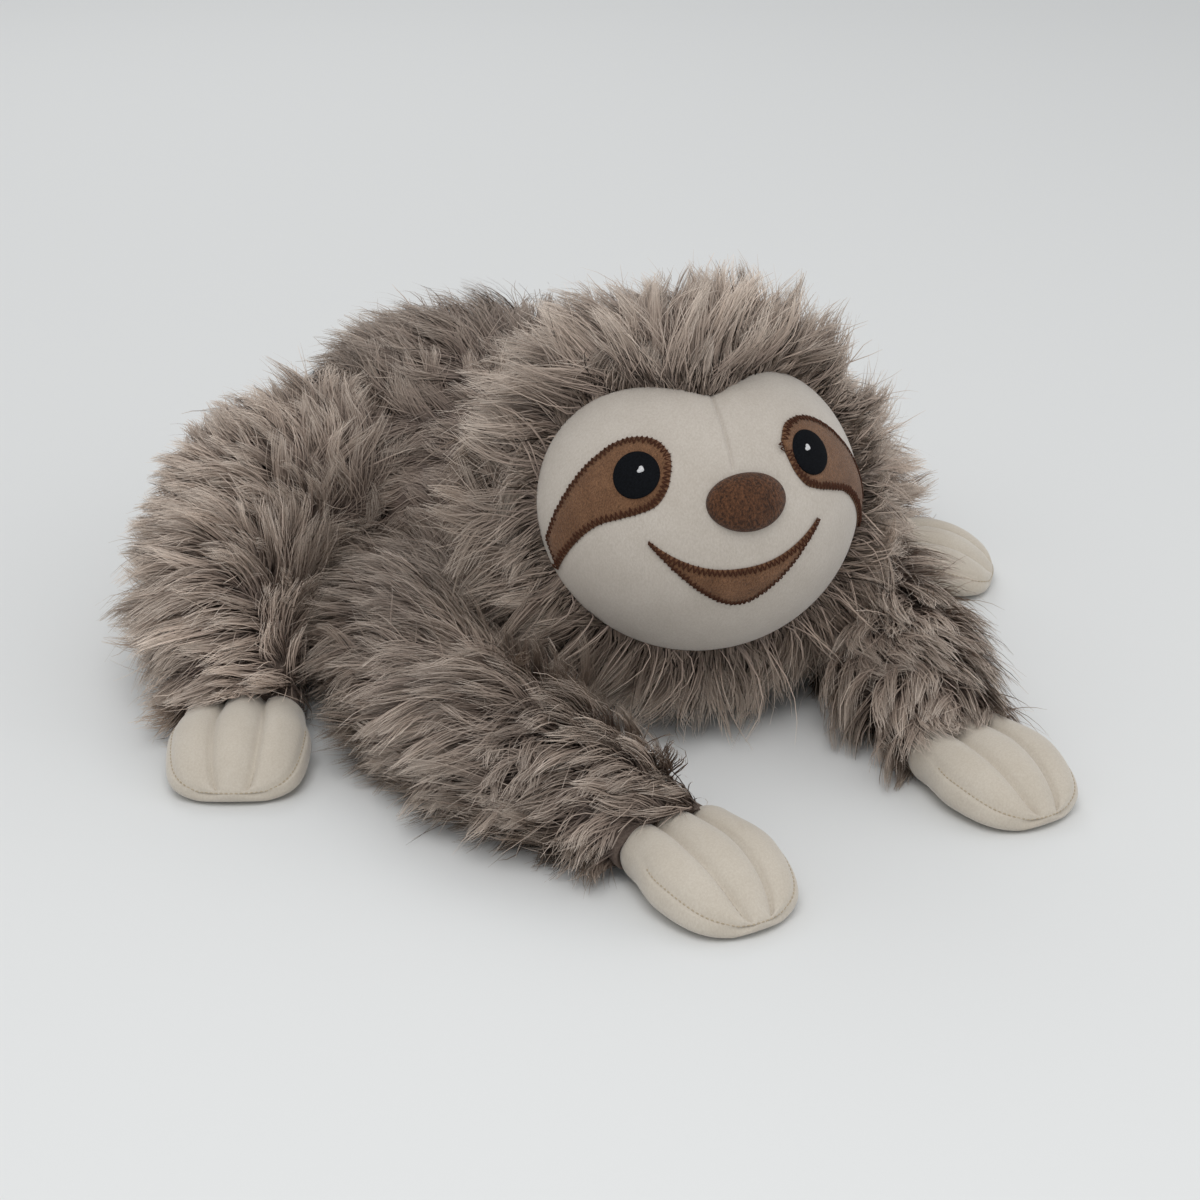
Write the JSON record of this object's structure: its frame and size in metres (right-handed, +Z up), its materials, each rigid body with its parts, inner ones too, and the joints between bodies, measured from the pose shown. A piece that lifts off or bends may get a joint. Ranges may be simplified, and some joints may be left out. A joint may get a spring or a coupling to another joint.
{
  "type": "plush sloth",
  "caption": "Stuffed sloth lying on its belly with limbs spread, long-haired, with a smooth padded face and paws; head, limbs and paws turn on their seams.",
  "frame": {"origin": "on the surface that the toy lies on, under the middle of its outline", "axes": "+Z up, -Y the way the toy faces, +X to the toy's left"},
  "size_m": [0.4037, 0.414, 0.1744],
  "materials": {
    "fur_taupe": "long shaggy pile, dark at the root and pale at the tip",
    "velboa_cream": "short even pile",
    "applique_brown": "short even pile",
    "thread_brown": "close zigzag stitching",
    "nose_brown": "short mottled pile, padded",
    "thread_black": "satin stitched",
    "thread_white": "satin stitched",
    "fibre_filling": "loose fibre"
  },
  "bodies": {
    "torso": {"back_panel": "fur_taupe", "belly_panel": "fur_taupe", "body_filling": "fibre_filling"},
    "head": {"head_hood": "fur_taupe", "face_panel": "velboa_cream", "head_filling": "fibre_filling", "nose": "nose_brown", "mouth": "applique_brown", "mouth_stitching": "thread_brown", "eye_patch_left": "applique_brown", "eye_patch_right": "applique_brown", "patch_stitching_left": "thread_brown", "patch_stitching_right": "thread_brown", "eye_left": "thread_black", "eye_right": "thread_black", "eye_glint_left": "thread_white", "eye_glint_right": "thread_white"},
    "arm_left": {"arm_sleeve_left": "fur_taupe", "arm_filling_left": "fibre_filling"},
    "arm_right": {"arm_sleeve_right": "fur_taupe", "arm_filling_right": "fibre_filling"},
    "leg_left": {"leg_sleeve_left": "fur_taupe", "leg_filling_left": "fibre_filling"},
    "leg_right": {"leg_sleeve_right": "fur_taupe", "leg_filling_right": "fibre_filling"},
    "hand_left": {"hand_top_left": "velboa_cream", "hand_sole_left": "velboa_cream", "hand_filling_left": "fibre_filling"},
    "hand_right": {"hand_top_right": "velboa_cream", "hand_sole_right": "velboa_cream", "hand_filling_right": "fibre_filling"},
    "foot_left": {"foot_top_left": "velboa_cream", "foot_sole_left": "velboa_cream", "foot_filling_left": "fibre_filling"},
    "foot_right": {"foot_top_right": "velboa_cream", "foot_sole_right": "velboa_cream", "foot_filling_right": "fibre_filling"}
  },
  "joints": [
    {"name": "neck_turn", "type": "hinge", "parent": "torso", "child": "head", "pos_m": [0.0064, -0.0351, 0.0902], "axis": [0, 0, 1], "range_deg": [-20, 20], "stiffness_Nm_per_rad": 0.05},
    {"name": "shoulder_swing_left", "type": "hinge", "parent": "torso", "child": "arm_left", "pos_m": [0.0804, 0.039, 0], "axis": [0, 0, 1], "range_deg": [-3, 6], "stiffness_Nm_per_rad": 0.05},
    {"name": "shoulder_swing_right", "type": "hinge", "parent": "torso", "child": "arm_right", "pos_m": [-0.0676, 0.039, 0], "axis": [0, 0, -1], "range_deg": [-4, 6], "stiffness_Nm_per_rad": 0.05},
    {"name": "hip_swing_left", "type": "hinge", "parent": "torso", "child": "leg_left", "pos_m": [0.0784, 0.135, 0], "axis": [0, 0, 1], "range_deg": [0, 18], "stiffness_Nm_per_rad": 0.05},
    {"name": "hip_swing_right", "type": "hinge", "parent": "torso", "child": "leg_right", "pos_m": [-0.0656, 0.135, 0], "axis": [0, 0, -1], "range_deg": [-2, 18], "stiffness_Nm_per_rad": 0.05},
    {"name": "hand_bend_left", "type": "hinge", "parent": "arm_left", "child": "hand_left", "pos_m": [0.06333, -0.14996, 0.01215], "axis": [-1, 0, 0], "range_deg": [0, 30], "stiffness_Nm_per_rad": 0.02},
    {"name": "hand_bend_right", "type": "hinge", "parent": "arm_right", "child": "hand_right", "pos_m": [-0.07051, -0.155, 0.01215], "axis": [-1, 0, 0], "range_deg": [0, 30], "stiffness_Nm_per_rad": 0.02},
    {"name": "foot_bend_left", "type": "hinge", "parent": "leg_left", "child": "foot_left", "pos_m": [0.15775, 0.0177, 0.01215], "axis": [-0.6428, -0.766, 0], "range_deg": [0, 30], "stiffness_Nm_per_rad": 0.02},
    {"name": "foot_bend_right", "type": "hinge", "parent": "leg_right", "child": "foot_right", "pos_m": [-0.16335, 0.0154, 0.01215], "axis": [-0.8572, 0.515, 0], "range_deg": [0, 30], "stiffness_Nm_per_rad": 0.02}
  ]
}
